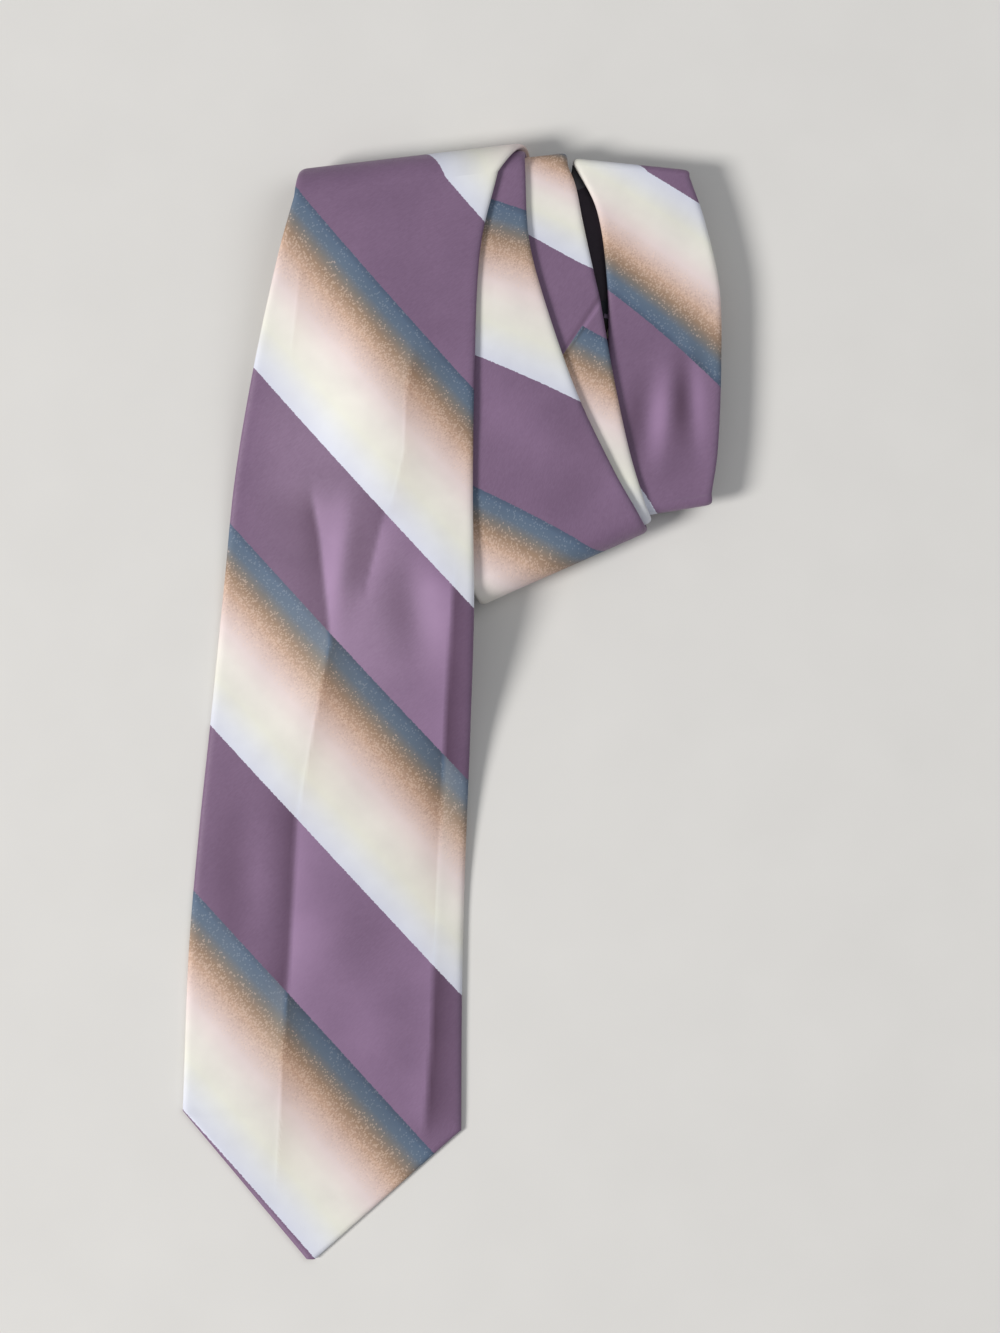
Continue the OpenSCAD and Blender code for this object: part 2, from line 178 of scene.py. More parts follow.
class Cuts:
    """Cuts across the tie: rows, the direction of the front face, and the stripe phase at both edges."""

    def __init__(self, rows, normal, phase):
        self.rows, self.normal, self.phase = rows, normal, phase

    def __len__(self):
        return len(self.rows)

    def part(self, first, last):
        return Cuts(self.rows[first:last], self.normal[first:last], self.phase[first:last])

    def width(self):
        return np.linalg.norm(self.rows[:, 2:4] - self.rows[:, 0:2], axis=1)

    def middle(self):
        z = (self.rows[:, 4] + self.rows[:, 5]) / 2
        return np.column_stack([(self.rows[:, 0:2] + self.rows[:, 2:4]) / 2, z])

    def run(self):
        """Distance along the middle of the cloth."""
        steps = np.linalg.norm(np.diff(self.middle(), axis=0), axis=1)
        return np.concatenate([[0], np.cumsum(steps)])

    def plan(self, u):
        """Places in plan at the share u from the left edge to the right one."""
        r = self.rows[:, :, None]
        return mix(r[:, 0], r[:, 2], u), mix(r[:, 1], r[:, 3], u)

    def points(self, x, w, relief=None, share=1.0):
        """Points x across from the middle and w towards the front face.

        relief lifts them by what it gives at each point: times share over the roll, and in full where
        the blade lies on the floor, so that its whole thickness moves. Nothing sinks into the floor.
        """
        r = self.rows[:, :, None]
        u = 0.5 + x / self.width()[:, None]
        n = self.normal[:, :, None]
        px, py = self.plan(u)
        lift = w if relief is None else w + relief(px, py) * mix(1, share, smooth((py - FREE_Y) / FREE_SPAN))
        pz = mix(r[:, 4], r[:, 5], smooth(u / r[:, 6])) + r[:, 7] * 4 * u * (1 - u) + n[:, 2] * lift
        if relief is not None:
            pz = np.maximum(pz, FLOOR_GAP + (w + HALF_T) * 0.5)
        return np.stack([px + n[:, 0] * lift, py + n[:, 1] * lift, pz], axis=-1)

    def place(self, x, w, relief=None, share=1.0):
        """The same points with their cloth map, stripe phase, painted-light slope and painted shade flag."""
        width = self.width()[:, None]
        u = 0.5 + x / width
        points = self.points(x, w, relief, share)
        heading = np.gradient(self.middle(), axis=0)
        heading /= np.linalg.norm(heading, axis=1)[:, None]
        across = (self.rows[:, 2:4] - self.rows[:, 0:2]) / width
        skew = (heading[:, :2] * across).sum(axis=1)[:, None]
        square = np.sqrt(np.maximum(1 - skew**2, 0.01))
        cloth = np.stack([x * square, self.run()[:, None] + x * skew], axis=-1)
        phase = mix(self.phase[:, 0:1], self.phase[:, 1:2], u)
        # Painted light: the relief's slope along x, towards the key light, which the silk paints as shade and
        # highlight
        lean = np.zeros_like(x + phase)
        if relief:
            px, py = self.plan(u)
            lean = (relief(px + 1, py) - relief(px - 1, py)) / 2 * share
        # Painted shade: legs that face down above the lowest layer, seen only through the gap between strips,
        # are marked to be darkened
        painted_gap_shade = (self.normal[:, 2] < -0.99) & (self.middle()[:, 2] > PITCH)
        shade = np.broadcast_to(painted_gap_shade.astype(float)[:, None], x.shape)
        return points, cloth, phase, lean, shade


def together(*parts):
    """One run of cuts from several, without repeating the cut where two meet."""
    rows, normal, phase = [parts[0].rows], [parts[0].normal], [parts[0].phase]
    for p in parts[1:]:
        rows.append(p.rows[1:])
        normal.append(p.normal[1:])
        phase.append(p.phase[1:])
    return Cuts(np.concatenate(rows), np.concatenate(normal), np.concatenate(phase))


def through(rows, x):
    """Rows at the places x on a smooth curve through the given rows."""
    rows = np.array(rows, float)
    last = len(rows) - 1
    k = np.minimum(np.floor(x).astype(int), last - 1)
    f = (x - k)[:, None]
    b, c = rows[k], rows[k + 1]
    a = np.where((k > 0)[:, None], rows[np.maximum(k - 1, 0)], 2 * b - c)
    d = np.where((k < last - 1)[:, None], rows[np.minimum(k + 2, last)], 2 * c - b)
    return 0.5 * (2 * b + (c - a) * f + (2 * a - 5 * b + 4 * c - d) * f**2 + (3 * b - a - 3 * c + d) * f**3)


def leg(rows, step, up, stripes=None, first=0.0, last=1.0):
    """Cuts every step along a flat leg. stripes is the leg's Stripes, or None where they come later."""
    ends = np.array(rows, float)
    length = np.linalg.norm(np.diff((ends[:, 0:2] + ends[:, 2:4]) / 2, axis=0), axis=1).sum()
    count = max(2, int(length * (last - first) / step)) + 1
    cuts = through(rows, np.linspace(first, last, count) * (len(rows) - 1))
    normal = np.tile([0.0, 0.0, float(up)], (count, 1))
    phase = np.zeros((count, 2))
    if stripes:
        phase = np.column_stack([stripes.at(cuts[:, 0:2]), stripes.at(cuts[:, 2:4])])
    return Cuts(cuts, normal, phase)


def bend(a, b, line, mid_z, up, count, bow=0.0):
    """Half turn round a fold line from the last cut of a to the first cut of b."""
    s = np.linspace(0, 1, count)
    turn = math.pi * s
    start, end = a.rows[-1], b.rows[0]
    radius = abs(start[4] - mid_z)
    out = up * line.up
    shift = out[None, :] * (radius * np.sin(turn))[:, None]
    left = mix(start[0:2], end[0:2], s[:, None]) + shift
    right = mix(start[2:4], end[2:4], s[:, None]) + shift + line.along * (bow * np.sin(turn))[:, None]
    z = mid_z + up * radius * np.cos(turn)
    rows = np.column_stack([left, right, z, z, np.ones(count), np.zeros(count)])
    normal = np.column_stack([out[None, :] * np.sin(turn)[:, None], up * np.cos(turn)])
    return Cuts(rows, normal, mix(a.phase[-1], b.phase[0], s[:, None]))


class Stripes:
    """Stripe phase over a flat leg, as a smooth surface through marks on the edges between stripes.

    A mark is a place in plan and its phase: whole numbers where purple meets pale, and SHADED more
    where the steel blue meets purple. powers are the powers of x and y that the surface uses.
    """

    def __init__(self, marks, powers):
        self.powers = powers
        places = np.array([mark[:2] for mark in marks], float)
        phases = np.array([mark[2] for mark in marks], float)
        self.weights = np.linalg.lstsq(self.terms(places), phases, rcond=None)[0]

    def terms(self, places):
        x, y = np.asarray(places, float).T / 100
        return np.column_stack([x**i * y**j for i, j in self.powers])

    def at(self, places):
        return self.terms(places) @ self.weights

    def slope(self, place):
        """Phase gained in a millimetre along x and along y."""
        around = np.array([(1, 0), (-1, 0), (0, 1), (0, -1)]) + np.array(place)
        right, left, up, down = self.at(around)
        return np.array([right - left, up - down]) / 2

    def over(self, here, there, line, radius):
        """Phase gained at both edges over a fold of this radius, from one row's edges to another's."""
        gained = []
        for i in (0, 2):
            slope = self.slope(here[i:i + 2])
            slide = (np.array(there[i:i + 2]) - np.array(here[i:i + 2])) @ line.along
            gained.append(math.pi * radius * (slope @ line.up) + slide * (slope @ line.along))
        return np.array(gained)


def settle(cuts, start, end, sign=1):
    """Fills in a hidden leg's phase between its ends, with the whole number of repeats that fits it best."""
    wanted = sign * cuts.run()[-1] * math.sqrt(0.5) / PERIOD
    end = end + round(wanted - float((end - start).mean()))
    run = cuts.run() / cuts.run()[-1]
    cuts.phase = mix(start, end, run[:, None])
    return end


PLANE = [(0, 0), (1, 0), (0, 1)]
TWISTED = PLANE + [(1, 1)]
BLADE_STRIPES = Stripes(
    [(-88.3, -142.2, 0), (-67.4, -165.2, 0), (-46.9, -188.1, 0),
     (-87.4, -64.5, SHADED), (-46.9, -109.2, SHADED), (-5.6, -154.6, SHADED),
     (-80.6, -7.8, 1), (-32.1, -60.4, 1), (3.5, -98.4, 1),
     (-74.2, 58.7, 1 + SHADED), (4.9, -26.3, 1 + SHADED),
     (-66.3, 114.4, 2), (-36.6, 79.5, 2), (8.4, 32.7, 2),
     (-51.8, 173.8, 2 + SHADED), (6.1, 106, 2 + SHADED),
     (-11.5, 186.8, 3), (11.4, 163.9, 3)],
    TWISTED + [(0, 2), (0, 3), (1, 2)])
A_STRIPES = Stripes(
    [(8.3, 71.5, SHADED), (35.9, 57.3, SHADED), (9.6, 118.8, 1), (42.2, 103.7, 1),
     (13.6, 168.8, 1 + SHADED), (25.7, 164.8, 1 + SHADED)], TWISTED)
B_LOW_STRIPES = Stripes([(44.4, 127.3, SHADED), (53.3, 122.4, SHADED), (28.8, 89.3, 0.1)], PLANE)
B_HIGH_STRIPES = Stripes(
    [(28.8, 157.2, 0), (48.4, 146.5, 0), (35.5, 181.9, 0.4), (41, 122, -0.3)], PLANE + [(0, 2)])
C_STRIPES = Stripes(
    [(53.1, 139.9, SHADED), (91.1, 107.2, SHADED), (59.1, 184, 0), (85.4, 167.9, 0),
     (72.7, 176.2, 0), (64.5, 72.5, 1), (69.5, 64.9, 1)], TWISTED + [(0, 2)])

# Spacing of the cuts on visible and on hidden legs, and the number of cuts round a fold
STEP = 1.6
COARSE = 4.0
FOLD_CUTS = 25
blade_tip = leg(TIP_ROWS, STEP, 1, BLADE_STRIPES)
blade_leg = leg(BLADE, STEP, 1, BLADE_STRIPES)
leg_2 = leg(LEG_2, COARSE, -1)
strip_a = leg(STRIP_A, STEP, 1, A_STRIPES)
leg_4 = leg(LEG_4, COARSE, -1)
strip_b_low = leg(STRIP_B_LOW, 1.0, 1, B_LOW_STRIPES)
strip_b_high = leg(STRIP_B_HIGH, 1.0, 1, B_HIGH_STRIPES)
leg_6_neck = leg(LEG_6_NECK, COARSE, -1)
leg_6_tail = leg(LEG_6_TAIL, COARSE, -1)
strip_c = leg(STRIP_C, STEP, 1, C_STRIPES)
leg_8 = leg(LEG_8, COARSE, -1)
tail_tip = leg(TAIL_TIP_ROWS, 2.0, -1)

TOP_R = [TOP_Z - LEVEL[i] for i in range(4)]
BOTTOM_R = [BOTTOM_Z - LEVEL[i] for i in range(3)]
first_turn = blade_leg.phase[-1] + BLADE_STRIPES.over(BLADE[-1], LEG_2[0], TOP, TOP_R[0])
second_turn = strip_a.phase[0] - A_STRIPES.over(LEG_2[1], STRIP_A[0], BOTTOM, BOTTOM_R[0])
strip_a.phase += settle(leg_2, first_turn, second_turn)[0] - second_turn[0]
third_turn = strip_a.phase[-1] + A_STRIPES.over(STRIP_A[-1], LEG_4[0], TOP, TOP_R[1])
fourth_turn = strip_b_low.phase[0] - B_LOW_STRIPES.over(LEG_4[1], STRIP_B_LOW[0], BOTTOM, BOTTOM_R[1])
strip_b_low.phase += settle(leg_4, third_turn, fourth_turn)[0] - fourth_turn[0]
fifth_turn = strip_b_high.phase[-1] + B_HIGH_STRIPES.over(STRIP_B_HIGH[-1], LEG_6_NECK[0], TOP, TOP_R[2])
settle(leg_6_neck, fifth_turn, fifth_turn)
sixth_turn = strip_c.phase[0] - C_STRIPES.over(LEG_6_TAIL[1], STRIP_C[0], TAIL_BOTTOM, BOTTOM_R[2])
settle(leg_6_tail, sixth_turn + 1, sixth_turn, -1)
leg_6_tail.phase += sixth_turn - leg_6_tail.phase[-1]
last_turn = strip_c.phase[-1] + C_STRIPES.over(STRIP_C[-1], LEG_8[0], TAIL_TOP, TOP_R[3])
tail_end = settle(leg_8, last_turn, last_turn, -1)
settle(tail_tip, tail_end, tail_end, -1)

blade_cuts = together(blade_tip, blade_leg)
fold_cuts = bend(blade_leg, leg_2, TOP, TOP_Z, 1, FOLD_CUTS * 2 - 1, 4)
wrap_cuts = together(
    leg_2, bend(leg_2, strip_a, BOTTOM, BOTTOM_Z, -1, FOLD_CUTS), strip_a,
    bend(strip_a, leg_4, TOP, TOP_Z, 1, FOLD_CUTS), leg_4,
    bend(leg_4, strip_b_low, BOTTOM, BOTTOM_Z, -1, FOLD_CUTS), strip_b_low)
neck_cuts = together(strip_b_high, bend(strip_b_high, leg_6_neck, TOP, TOP_Z, 1, FOLD_CUTS), leg_6_neck)
tail_start = together(
    leg_6_tail, bend(leg_6_tail, strip_c, TAIL_BOTTOM, BOTTOM_Z, -1, FOLD_CUTS), strip_c,
    bend(strip_c, leg_8, TAIL_TOP, TOP_Z, 1, FOLD_CUTS))
tail_end_cuts = together(leg_8, tail_tip)
tail_cuts = together(tail_start, tail_end_cuts)


# ---------------------------------------------------------------- creases and soft swells of the cloth
def crease(points, height, left, right):
    """A line pressed into the cloth: full height on the line, fading over left and right of it."""
    xs, ys = zip(*sorted(points, key=lambda p: p[1]))

    def lift(x, y):
        d = x - np.interp(y, ys, xs)
        fade = smooth((y - ys[0] + 8) / 16) * smooth((ys[-1] + 8 - y) / 16)
        return height * fade * np.where(d > 0, np.exp(-np.abs(d) / right), np.exp(-np.abs(d) / left))
    return lift


def swell(x0, y0, height, rx, ry, degrees=0.0):
    """A soft hump or hollow."""
    c, s = math.cos(math.radians(degrees)), math.sin(math.radians(degrees))

    def lift(x, y):
        a, b = (x - x0) * c + (y - y0) * s, (y - y0) * c - (x - x0) * s
        return height * np.exp(-((a / rx) ** 2 + (b / ry) ** 2))
    return lift


def seam_groove(a, b, depth, reach):
    """A sewn line from a to b that pulls the cloth in."""
    way = np.array(b) - np.array(a)
    side = np.array([-way[1], way[0]]) / np.linalg.norm(way)

    def lift(x, y):
        d = (x - a[0]) * side[0] + (y - a[1]) * side[1]
        return -depth * np.exp(-((d / reach) ** 2))
    return lift


def summed(*lifts):
    return lambda x, y: sum(f(x, y) for f in lifts)


BLADE_RELIEF = summed(
    crease([(-60.2, -164), (-57.8, -119), (-55, -84), (-52.6, -39), (-47.6, -10), (-41.1, 21), (-42.1, 34),
            (-44.6, 56), (-47.1, 70)], -1.3, 9, 12),
    crease([(-8.7, -144), (-6.7, -116), (-5.5, -87), (-3, -40), (-1.7, -5), (1.4, 44)], 1.2, 16, 7),
    crease([(-20.6, 65), (-16, 85), (-15.4, 104), (-13, 117)], -0.9, 8, 10),
    crease([(-54.1, 119), (-51.1, 146)], -0.5, 7, 8),
    crease([(-28.5, 40), (-22, 66)], -0.65, 7, 7),
    swell(-12, 33, -0.8, 8, 16, 10),
    swell(-36, 48, 0.5, 5, 20, -8),
    swell(-40, -80, 0.5, 14, 12),
    swell(-22, -112, 0.4, 12, 18),
    swell(-70, -60, -0.5, 8, 25),
)
A_RELIEF = summed(
    swell(8, 100, -0.35, 9, 14, 10),
    swell(34, 92, 0.35, 12, 9, -30),
    swell(48, 72, -0.3, 12, 7, 24),
    swell(15, 140, 0.3, 9, 12),
)
B_RELIEF = seam_groove(SEAM_1[0:2], SEAM_1[2:4], 0.16, 0.6)
C_RELIEF = summed(
    swell(66, 96, -0.55, 5, 14, -6),
    swell(74, 98, 0.3, 4, 14, -6),
    swell(81, 102, -0.5, 4, 15, 4),
    swell(70, 160, 0.4, 14, 10),
    swell(60, 78, 0.3, 12, 6),
)


def wrap_relief(x, y):
    """Strip a and the lower part of strip b; the hidden legs lie flat."""
    return A_RELIEF(x, y) * wrap_mask_a[:, None] + B_RELIEF(x, y) * wrap_mask_b[:, None]


def face_up(cuts, level):
    """Whether each cut of a run lies face up at this level."""
    return (np.abs(cuts.middle()[:, 2] - level) < 0.01) & (cuts.normal[:, 2] > 0.99)


def mask_of(cuts, level):
    """1 on a run's cuts at one level that face up, fading out over its ends."""
    on = face_up(cuts, level)
    return np.convolve(on.astype(float), np.ones(7) / 7, "same") * on


wrap_mask_a = mask_of(wrap_cuts, LEVEL[6])
wrap_mask_b = face_up(wrap_cuts, LEVEL[5]).astype(float)
neck_mask = face_up(neck_cuts, LEVEL[5]).astype(float)
tail_mask = mask_of(tail_cuts, LEVEL[4])


def neck_relief(x, y):
    return B_RELIEF(x, y) * neck_mask[:, None]


def tail_relief(x, y):
    return C_RELIEF(x, y) * tail_mask[:, None]


# ---------------------------------------------------------------- meshes
def quads(a, b, c, d):
    return np.stack([a, b, c, d], axis=-1).reshape(-1, 4)


SHARP_DEG = 50


def closed_sheet(name, front, back, finish):
    """Closed cloth between two grids of places: front face, back face and the four edges."""
    rows, columns = front[0].shape[:2]
    over = np.arange(rows * columns).reshape(rows, columns)
    under = over + rows * columns
    faces = np.concatenate([
        quads(over[:-1, :-1], over[1:, :-1], over[1:, 1:], over[:-1, 1:]),
        quads(under[:-1, :-1], under[:-1, 1:], under[1:, 1:], under[1:, :-1]),
        quads(over[:-1, 0], under[:-1, 0], under[1:, 0], over[1:, 0]),
        quads(over[:-1, -1], over[1:, -1], under[1:, -1], under[:-1, -1]),
        quads(over[0, :-1], over[0, 1:], under[0, 1:], under[0, :-1]),
        quads(over[-1, :-1], under[-1, :-1], under[-1, 1:], over[-1, 1:]),
    ])
    points, cloth, phase, lean, shade = (
        np.concatenate([skin.reshape(rows * columns, -1) for skin in pair]) for pair in zip(front, back))
    a, b, c = (points[faces[:, i]] for i in range(3))
    d = points[faces[:, 3]]
    middle = points.mean(axis=0)
    volume = np.einsum("ij,ij->i", a - middle, np.cross(b - middle, c - middle)).sum()
    volume += np.einsum("ij,ij->i", a - middle, np.cross(c - middle, d - middle)).sum()
    if volume < 0:
        faces = faces[:, ::-1]
    mesh = bpy.data.meshes.new(name)
    mesh.from_pydata((points * MM).tolist(), [], faces.tolist())
    corner = np.empty(len(mesh.loops), dtype=np.int32)
    mesh.loops.foreach_get("vertex_index", corner)
    mesh.uv_layers.new(name="cloth").data.foreach_set("uv", (cloth[corner] * MM).astype(np.float32).ravel())
    # The slope and the flag stored here carry the silk's painted shade and painted highlight
    for label, values in (("stripe", phase), ("lean", lean), ("shade", shade)):
        layer = mesh.attributes.new(label, "FLOAT", "POINT")
        layer.data.foreach_set("value", values.astype(np.float32).ravel())
    mesh.shade_smooth()
    mesh.set_sharp_from_angle(angle=math.radians(SHARP_DEG))
    return add_piece(name, mesh, finish)


def add_piece(name, mesh, finish):
    piece = bpy.data.objects.new(name, mesh)
    bpy.context.scene.collection.objects.link(piece)
    mesh.materials.clear()
    mesh.materials.append(finish)
    return piece


def outline(half, thick, roll, opening, front_columns, back_columns=5, edge_steps=8):
    """Folded outline at each cut, back lip to back lip: places across and depths."""
    half, opening = half[:, None], opening[:, None]
    roll = np.minimum(roll, half * 0.8)
    lip = np.linspace(0, 1, back_columns, endpoint=False)
    angle = np.radians(np.linspace(-90, 90, edge_steps + 1))
    front = np.linspace(1, 0, front_columns + 1)[1:]
    reach = half - roll
    x = np.concatenate([mix(np.minimum(opening, reach), reach, lip), reach + roll * np.cos(angle),
                        reach * front], axis=1)
    w = np.concatenate([lip * 0 - thick / 2, thick / 2 * np.sin(angle), front * 0 + thick / 2])
    w = np.broadcast_to(w, x.shape)
    return np.concatenate([x, -x[:, -2::-1]], axis=1), np.concatenate([w, w[:, -2::-1]], axis=1)


def shell(name, cuts, opening, front_columns, relief=None):
    """Silk folded round to the back, with its two edges meeting or standing apart by the opening."""
    half = cuts.width() / 2
    skins = []
    for inside in (0, CLOTH_T):
        thick = TIE_T - 2 * inside
        x, w = outline(half - inside, thick, EDGE_ROLL - inside, opening, front_columns)
        skins.append(cuts.place(x, w, relief, (w / thick * 2 + 1) / 2))
    return closed_sheet(name, *skins, SILK)


def band(name, cuts, half, depths, finish, columns, relief=None, rise=(0.9, 0.3)):
    """Flat band inside or behind the shell, from -half to half across, between two depths.

    rise is the share of the relief that its front and its back follow.
    """
    half = np.broadcast_to(half, len(cuts))[:, None]
    x = half * np.linspace(1, -1, columns + 1)
    skins = [cuts.place(x, np.full(x.shape, w), relief, share) for w, share in zip(depths, rise)]
    return closed_sheet(name, *skins, finish)


def opening_of(cuts, point, hem, start, end):
    """Half width of the back opening: wide at the point, closing to the seam."""
    reach = np.linalg.norm(cuts.middle()[:, :2] - np.array(point), axis=1)
    return np.maximum(SEAM_GAP / 2, (cuts.width() / 2 - hem) * (1 - smooth((reach - start) / (end - start))))


def front_opening(cuts):
    return opening_of(cuts, TIP, FRONT_HEM, FRONT_OPEN, FRONT_TACK)


def tail_opening(cuts):
    return opening_of(cuts, TAIL_TIP, TAIL_HEM, TAIL_OPEN, TAIL_TACK)


def seam_of(cuts):
    return np.full(len(cuts), SEAM_GAP / 2)


# ---------------------------------------------------------------- materials
def linear(r, g, b):
    """Linear colour from the usual 0 to 255 steps."""
    def channel(c):
        c /= 255
        return c / 12.92 if c <= 0.04045 else ((c + 0.055) / 1.055) ** 2.4
    return (channel(r), channel(g), channel(b), 1)


class Number:
    """A shader socket that can be used in sums: each operator adds its Math node."""

    def __init__(self, finish, socket):
        self.finish, self.socket = finish, socket

    def math(self, operation, *others):
        inputs = {i + 1: other for i, other in enumerate(others)}
        return self.finish.node("ShaderNodeMath", {"operation": operation}, {0: self, **inputs})

    def __add__(self, other):
        return self.math("ADD", other)

    def __sub__(self, other):
        return self.math("SUBTRACT", other)

    def __mul__(self, other):
        return self.math("MULTIPLY", other)

    def __truediv__(self, other):
        return self.math("DIVIDE", other)

    def __gt__(self, other):
        return self.math("GREATER_THAN", other)

    def __rsub__(self, other):
        return self.finish.node("ShaderNodeMath", {"operation": "SUBTRACT"}, {0: other, 1: self})

    __radd__ = __add__
    __rmul__ = __mul__

    def clamp(self):
        return self.finish.node("ShaderNodeClamp", {}, {"Value": self})


class Finish:
    """A material under construction."""

    def __init__(self, name):
        self.material = bpy.data.materials.new(name)
        self.material.use_nodes = True
        self.tree = self.material.node_tree
        self.tree.nodes.clear()

    def node(self, kind, settings=None, inputs=None, output=0):
        node = self.tree.nodes.new(kind)
        for key, value in (settings or {}).items():
            if key == "stops":
                fill_ramp(node.color_ramp, value)
            else:
                setattr(node, key, value)
        for key, value in (inputs or {}).items():
            if isinstance(value, Number):
                self.tree.links.new(value.socket, node.inputs[key])
            else:
                node.inputs[key].default_value = value
        return Number(self, node.outputs[output])

    def colour_mix(self, factor, a, b, blend="MIX"):
        settings = {"data_type": "RGBA", "blend_type": blend}
        return self.node("ShaderNodeMix", settings, {0: factor, 6: a, 7: b}, 2)

    def cloth_threads(self):
        """Distances in metres along the two thread directions, which lie on the bias of the tie."""
        uv = self.node("ShaderNodeUVMap", {"uv_map": "cloth"})
        split = self.tree.nodes.new("ShaderNodeSeparateXYZ")
        self.tree.links.new(uv.socket, split.inputs[0])
        u, v = (Number(self, split.outputs[i]) for i in range(2))
        half = math.sqrt(0.5)
        return u * half + v * half, v * half - u * half

    def joined(self, x, y, z=0.0):
        return self.node("ShaderNodeCombineXYZ", {}, {0: x, 1: y, 2: z})

    def noise(self, vector, scale, detail=2.0, rough=0.5):
        return self.node("ShaderNodeTexNoise", {}, {"Vector": vector, "Scale": scale, "Detail": detail,
                                                      "Roughness": rough})

    def speck(self, x, y):
        """One random number for each whole step of x and y."""
        return self.node("ShaderNodeTexWhiteNoise", {"noise_dimensions": "2D"},
                         {"Vector": self.joined(x.math("FLOOR"), y.math("FLOOR"))})

    def bump(self, height, distance, strength):
        return self.node("ShaderNodeBump", {}, {"Height": height, "Distance": distance, "Strength": strength})

    def surface(self, shader):
        out = self.tree.nodes.new("ShaderNodeOutputMaterial")
        self.tree.links.new(shader.socket, out.inputs["Surface"])
        return self.material

    def cloth(self, colour, roughness, normal, sheen=0.3, tint=(1, 1, 1, 1), specular=0.4):
        return self.node("ShaderNodeBsdfPrincipled", {}, {
            "Base Color": colour, "Roughness": roughness, "Normal": normal, "Sheen Weight": sheen,
            "Sheen Roughness": 0.35, "Sheen Tint": tint, "Specular IOR Level": specular})


def fill_ramp(ramp, stops):
    while len(ramp.elements) < len(stops):
        ramp.elements.new(0.5)
    for element, (position, colour) in zip(ramp.elements, stops):
        element.position = position
        element.color = colour


SHADES = [
    (0.0, linear(214, 217, 230)), (0.10, linear(222, 224, 229)), (0.24, linear(230, 229, 217)),
    (0.38, linear(232, 226, 218)), (0.50, linear(230, 214, 211)), (0.60, linear(217, 193, 184)),
    (0.69, linear(197, 165, 144)), (0.77, linear(158, 132, 110)), (0.84, linear(124, 119, 114)),
    (0.90, linear(98, 113, 130)), (0.96, linear(90, 108, 130)), (1.0, linear(78, 92, 114)),
]
PURPLE = linear(128, 103, 130)
PURPLE_DEEP = linear(112, 87, 113)
# Painted shade and painted highlight colours for the purple, laid on by the slope of the cloth
PURPLE_PAINTED_SHADE = linear(84, 60, 80)
PURPLE_PAINTED_HIGHLIGHT = linear(160, 130, 164)
THREAD_STEP_M = 0.0004
THREAD_REPEAT_M = 0.00032
CANVAS_REPEAT_M = 0.0009
LABEL_REPEAT_M = 0.0005


def striped_silk():
    """Bias-cut silk: a long shade from pale through tan to steel blue, then plain purple.

    Where the cloth slopes, light and shade are painted into the colour in place of the satin's sheen:
    the purple gets painted shade on one side and painted highlight on the other, and the pale the reverse.
    """
    f = Finish("striped_silk")
    warp, weft = f.cloth_threads()
    phase = f.node("ShaderNodeAttribute", {"attribute_name": "stripe"}, {}, 2)
    lean = f.node("ShaderNodeAttribute", {"attribute_name": "lean"}, {}, 2)
    tooth = f.speck(weft / THREAD_STEP_M, warp / (THREAD_STEP_M * 8))
    place = (phase + (tooth - 0.5) * 0.0022).math("FRACT")
    depth = (place / SHADED).clamp()
    purple = ((place - SHADED) * 500).clamp()
    tone = f.node("ShaderNodeValToRGB", {"stops": SHADES}, {"Fac": depth})
    fleck = f.speck(warp / (THREAD_STEP_M * 1.3), weft / THREAD_STEP_M)
    zone = ((depth - 0.5) * 6).clamp() * ((0.88 - depth) * 6).clamp()
    flecked = f.colour_mix((zone * 0.35 > fleck) * 0.28, tone, linear(240, 214, 196))
    flecked = f.colour_mix((fleck > 0.88) * (zone * 0.2), flecked, linear(120, 96, 86))
    dusty = ((depth - 0.8) * 8).clamp() * (fleck > 0.9) * 0.16
    flecked = f.colour_mix(dusty, flecked, linear(188, 196, 204))
    grain = f.speck(warp / (THREAD_STEP_M * 3), weft / (THREAD_STEP_M * 0.6))
    lit = f.colour_mix(grain * 0.4, PURPLE, PURPLE_DEEP)
    # Painted shade on the purple where the cloth falls towards +x, painted highlight where it rises towards
    # +x
    lit = f.colour_mix((lean * -5).clamp(), lit, PURPLE_PAINTED_SHADE)
    lit = f.colour_mix((lean * 6).clamp(), lit, PURPLE_PAINTED_HIGHLIGHT)
    # Painted shade on the pale, tan and blue where the cloth rises towards +x, stronger in the darker zones
    pale_painted_shade = (lean * 8).clamp() * (0.14 + depth * 0.8)
    pale = f.colour_mix(pale_painted_shade, flecked, linear(176, 160, 146), "MULTIPLY")
    # Painted highlight on the pale where the cloth falls towards +x
    pale = f.colour_mix((lean * -4).clamp() * 0.2, pale, linear(246, 240, 226))
    base = f.colour_mix(purple, pale, lit)
    cloudy = f.noise(f.joined(warp, weft), 60.0, 3.0)
    base = f.colour_mix((cloudy - 0.35).clamp() * 0.35, base, linear(150, 140, 156), "MULTIPLY")
    # Painted shade: the hidden legs seen through the gap between strips are darkened almost to black
    painted_gap_shade = f.node("ShaderNodeAttribute", {"attribute_name": "shade"}, {}, 2)
    base = f.colour_mix(painted_gap_shade * 0.9, base, linear(20, 14, 20), "MULTIPLY")
    ribs = (warp * (2 * math.pi / THREAD_REPEAT_M) + weft * (math.pi / THREAD_REPEAT_M)).math("SINE")
    floats = (weft * (2 * math.pi / (THREAD_REPEAT_M * 0.7))).math("SINE")
    slub = f.noise(f.joined(warp * 0.15, weft), 1400.0, 1.0)
    height = ribs * 0.3 + floats * 0.3 + slub * 0.8
    normal = f.bump(height, 0.00006, 0.5)
    rough = 0.56 - purple * 0.14 + (grain - 0.5) * 0.06
    return f.surface(f.cloth(base, rough, normal, 0.08, linear(216, 196, 222), 0.25))


